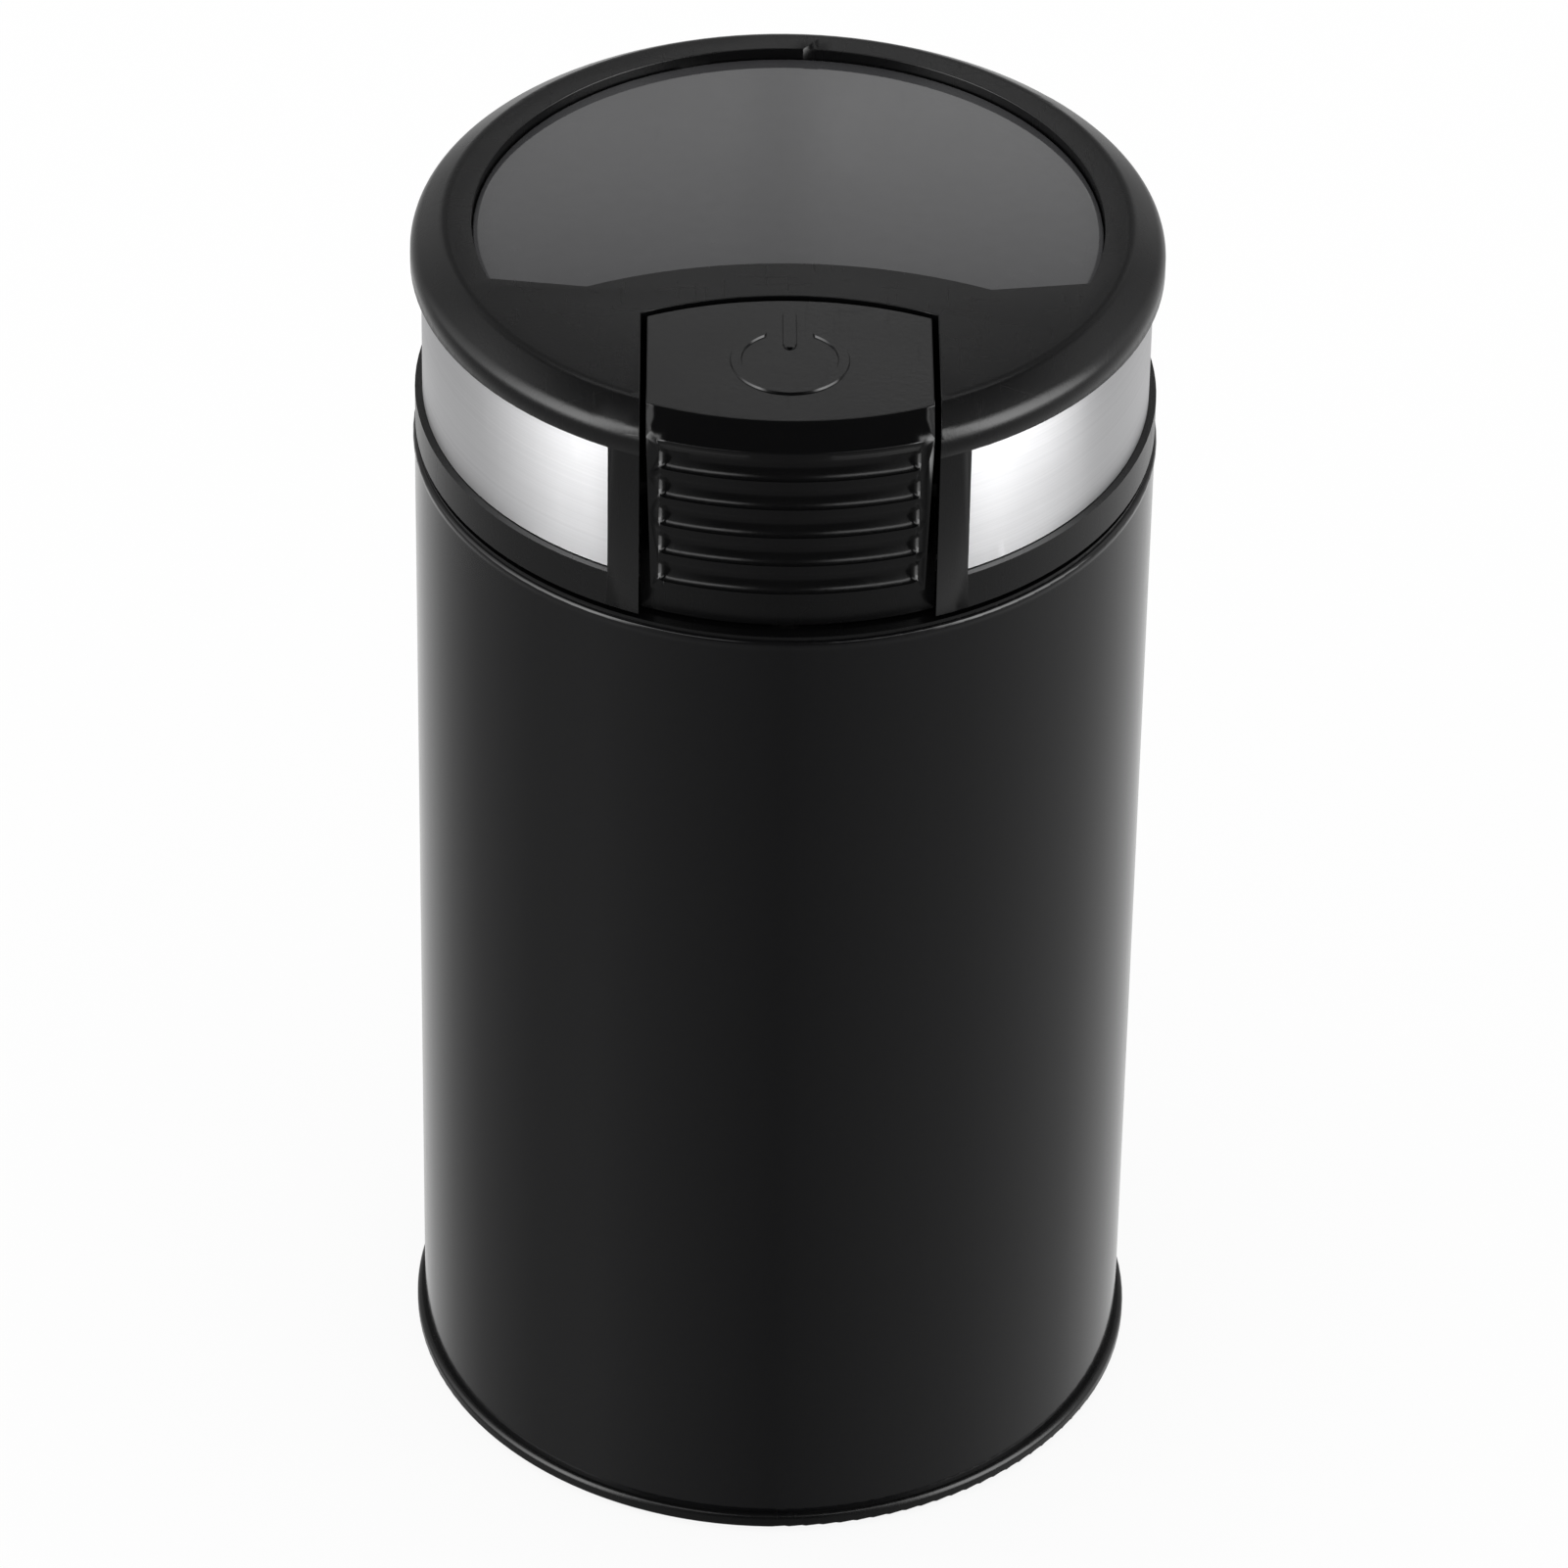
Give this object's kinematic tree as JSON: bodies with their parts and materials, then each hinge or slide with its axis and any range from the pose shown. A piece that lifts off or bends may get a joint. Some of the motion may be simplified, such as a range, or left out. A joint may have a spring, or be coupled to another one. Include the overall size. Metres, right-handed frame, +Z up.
{
  "type": "electric coffee grinder",
  "caption": "Round blade coffee grinder: black steel body, steel-banded lid with a smoked window and a louvred push button, blade in a steel bowl.",
  "frame": {"origin": "centre of the resting surface, on the axis of the round body", "axes": "+Z up along the body's axis; the push button faces -Y and the cord outlet faces +Y"},
  "size_m": [0.0966, 0.0966, 0.177],
  "materials": {
    "painted_steel": "gloss black enamel",
    "black_plastic": "semi-gloss",
    "button_plastic": "semi-gloss with gloss louvres",
    "rod_plastic": "natural acetal",
    "rubber": "matt",
    "silicone": "matt",
    "stainless": "brushed",
    "zinc_steel": "zinc plated",
    "ground_steel": "ground",
    "bronze": "plain",
    "copper": "enamelled wire",
    "lamination": "stacked sheets",
    "carbon": "carbon",
    "fan_plastic": "moulded",
    "smoked_plastic": "smoked, polished",
    "clear_plastic": "clear, lightly smoked",
    "switch_plastic": "moulded",
    "capacitor_case": "moulded"
  },
  "bodies": {
    "housing": {"body_shell": "painted_steel", "base_cover": "black_plastic", "rubber_feet": "rubber", "base_screws": "zinc_steel", "top_collar": "black_plastic", "grinding_bowl": "stainless", "bowl_seal": "rubber", "chassis": "black_plastic", "chassis_screws": "zinc_steel", "shaft_seal": "rubber", "stator_core": "lamination", "field_coil_right": "copper", "field_coil_left": "copper", "upper_bracket": "zinc_steel", "lower_bracket": "zinc_steel", "upper_bearing": "bronze", "lower_bearing": "bronze", "tie_screws": "zinc_steel", "damper_bushes": "rubber", "brush_holders": "bronze", "carbon_brushes": "carbon", "brush_springs": "zinc_steel", "microswitch": "switch_plastic", "switch_terminals": "bronze", "switch_screws": "zinc_steel", "rod_spring": "zinc_steel", "cord_gland": "rubber", "cord_clamp": "switch_plastic", "clamp_screws": "zinc_steel", "capacitor": "capacitor_case", "terminal_block": "switch_plastic"},
    "rotor": {"motor_shaft": "ground_steel", "rotor_core": "lamination", "rotor_winding": "copper", "commutator": "copper", "cooling_fan": "fan_plastic", "blade_carrier": "fan_plastic", "grinder_blade": "stainless", "blade_nut": "stainless"},
    "lid": {"lid_shell": "black_plastic", "lid_window": "smoked_plastic", "steel_band": "stainless", "lid_liner": "clear_plastic", "lid_gasket": "silicone", "liner_screws": "zinc_steel", "button_guide": "black_plastic", "button_spring": "zinc_steel"},
    "button": {"power_button": "button_plastic", "button_plunger": "rod_plastic"},
    "push_rod": {"push_rod": "rod_plastic"},
    "switch_lever": {"switch_lever": "zinc_steel"},
    "switch_pin": {"switch_pin": "rod_plastic"}
  },
  "joints": [
    {"name": "lid_lift", "type": "slide", "parent": "housing", "child": "lid", "axis": [0, 0, 1], "range_m": [0, 0.05]},
    {"name": "blade_spin", "type": "hinge", "parent": "housing", "child": "rotor", "pos_m": [0, 0, 0.1], "axis": [0, 0, 1], "continuous": true},
    {"name": "button_press", "type": "slide", "parent": "lid", "child": "button", "axis": [0, 0, -1], "range_m": [0, 0.003], "stiffness_N_per_m": 900, "springref_m": -0.004, "deforming": ["button_spring"]},
    {"name": "push_rod_slide", "type": "slide", "parent": "housing", "child": "push_rod", "axis": [0, 0, -1], "range_m": [0, 0.003], "deforming": ["rod_spring"]},
    {"name": "lever_turn", "type": "hinge", "parent": "housing", "child": "switch_lever", "pos_m": [-0.014, -0.0369, 0.0872], "axis": [0, 1, 0], "range_deg": [0, 12.5]},
    {"name": "switch_pin_slide", "type": "slide", "parent": "housing", "child": "switch_pin", "axis": [0, 0, -1], "range_m": [0, 0.0013]}
  ],
  "couplings": [
    {"joint": "push_rod_slide", "follows": "button_press", "ratio": 1},
    {"joint": "lever_turn", "follows": "button_press", "rad_per_m": 71.9},
    {"joint": "switch_pin_slide", "follows": "button_press", "ratio": 0.4}
  ]
}
